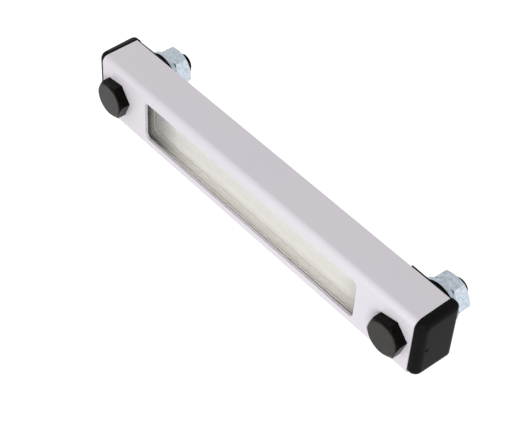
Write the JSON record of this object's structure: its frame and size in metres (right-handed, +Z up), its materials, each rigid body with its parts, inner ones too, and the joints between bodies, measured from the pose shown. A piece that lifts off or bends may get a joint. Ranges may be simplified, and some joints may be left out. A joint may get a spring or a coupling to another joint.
{
  "type": "oil level indicator",
  "caption": "Wall-mounted oil level gauge: folded steel cover with a long window over a clear sight tube, black end pieces and hollow bolts with washers and nuts.",
  "frame": {"origin": "on the lower bolt's axis, level with the outer face of its nut, where the stud's free end begins", "axes": "+Z up along the gauge, +Y into the tank's wall along the bolts, X across the gauge"},
  "size_m": [0.0318, 0.0442, 0.206],
  "materials": {
    "white_paint": "smooth powder coat, slightly lilac white",
    "clear_plastic": "clear moulded plastic, polished",
    "white_plastic": "warm white moulded plastic",
    "black_plastic": "black moulded plastic, fine satin",
    "black_steel": "blackened steel",
    "zinc_steel": "bright bluish zinc plate",
    "black_rubber": "matt black rubber"
  },
  "bodies": {
    "gauge": {"housing": "white_paint", "sight_tube": "clear_plastic", "backing_channel": "white_plastic", "lower_end_piece": "black_plastic", "upper_end_piece": "black_plastic", "lower_head_seal": "black_rubber", "upper_head_seal": "black_rubber", "lower_wall_seal": "black_rubber", "upper_wall_seal": "black_rubber", "lower_tube_seal": "black_rubber", "upper_tube_seal": "black_rubber"},
    "lower_bolt_body": {"lower_hollow_bolt": "black_steel"},
    "lower_washer_body": {"lower_washer": "zinc_steel"},
    "lower_nut_body": {"lower_nut": "zinc_steel"},
    "upper_bolt_body": {"upper_hollow_bolt": "black_steel"},
    "upper_washer_body": {"upper_washer": "zinc_steel"},
    "upper_nut_body": {"upper_nut": "zinc_steel"}
  },
  "joints": [
    {"name": "lower_bolt_turn", "type": "hinge", "parent": "gauge", "child": "lower_bolt_body", "pos_m": [0, 0, 0], "axis": [0, 1, 0], "continuous": true},
    {"name": "lower_washer_slide", "type": "slide", "parent": "lower_bolt_body", "child": "lower_washer_body", "axis": [0, 1, 0], "range_m": [0, 0.0105]},
    {"name": "lower_nut_turn", "type": "hinge", "parent": "lower_washer_body", "child": "lower_nut_body", "pos_m": [0, 0, 0], "axis": [0, 1, 0], "range_deg": [0, 2520]},
    {"name": "upper_bolt_turn", "type": "hinge", "parent": "gauge", "child": "upper_bolt_body", "pos_m": [0, 0, 0.176], "axis": [0, 1, 0], "continuous": true},
    {"name": "upper_washer_slide", "type": "slide", "parent": "upper_bolt_body", "child": "upper_washer_body", "axis": [0, 1, 0], "range_m": [0, 0.0105]},
    {"name": "upper_nut_turn", "type": "hinge", "parent": "upper_washer_body", "child": "upper_nut_body", "pos_m": [0, 0, 0.176], "axis": [0, 1, 0], "range_deg": [0, 2520]}
  ],
  "couplings": [
    {"joint": "lower_washer_slide", "follows": "lower_nut_turn", "m_per_rad": 0.00023873},
    {"joint": "upper_washer_slide", "follows": "upper_nut_turn", "m_per_rad": 0.00023873}
  ]
}
